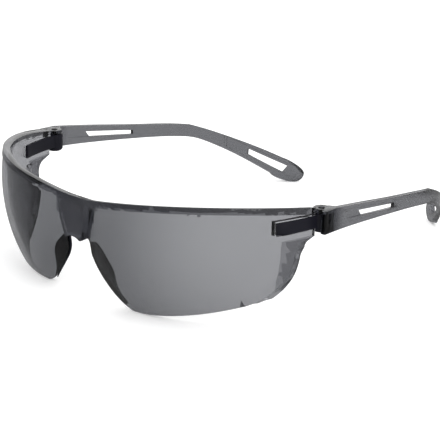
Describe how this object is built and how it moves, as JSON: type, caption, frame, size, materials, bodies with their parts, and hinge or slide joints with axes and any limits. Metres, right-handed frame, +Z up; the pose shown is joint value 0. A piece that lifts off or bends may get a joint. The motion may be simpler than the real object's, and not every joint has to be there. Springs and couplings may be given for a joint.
{
  "type": "safety glasses",
  "caption": "Wrap-around safety glasses with a one-piece smoke-tinted shield lens, soft nose pads and folding slotted temples on vertical hinge pins.",
  "frame": {"origin": "on the table, in the middle of the footprint, between the two lowest lens edges and the temple ends", "axes": "+X towards the wearer's left, +Y backwards along the open temples, +Z up; the front of the lens faces -Y"},
  "size_m": [0.141, 0.1634, 0.0427],
  "materials": {
    "lens": "glossy smoke-grey transparent polycarbonate, hard coated",
    "nose_pad": "soft satin near-black elastomer",
    "hinge_block": "satin moulded near-black plastic",
    "hinge_pin": "dark satin pin with a low domed head",
    "temple": "glossy smoke-grey transparent polycarbonate"
  },
  "bodies": {
    "front": {"lens": "lens", "nose_pad_left": "nose_pad", "hinge_block_left": "hinge_block", "hinge_pin_left": "hinge_pin", "nose_pad_right": "nose_pad", "hinge_block_right": "hinge_block", "hinge_pin_right": "hinge_pin"},
    "temple_left": {"temple_left": "temple"},
    "temple_right": {"temple_right": "temple"}
  },
  "joints": [
    {"name": "hinge_left", "type": "hinge", "parent": "front", "child": "temple_left", "pos_m": [0.066, -0.0298, 0.033], "axis": [0, 0, 1], "range_deg": [0, 86]},
    {"name": "hinge_right", "type": "hinge", "parent": "front", "child": "temple_right", "pos_m": [-0.066, -0.0298, 0.033], "axis": [0, 0, -1], "range_deg": [0, 75]}
  ]
}
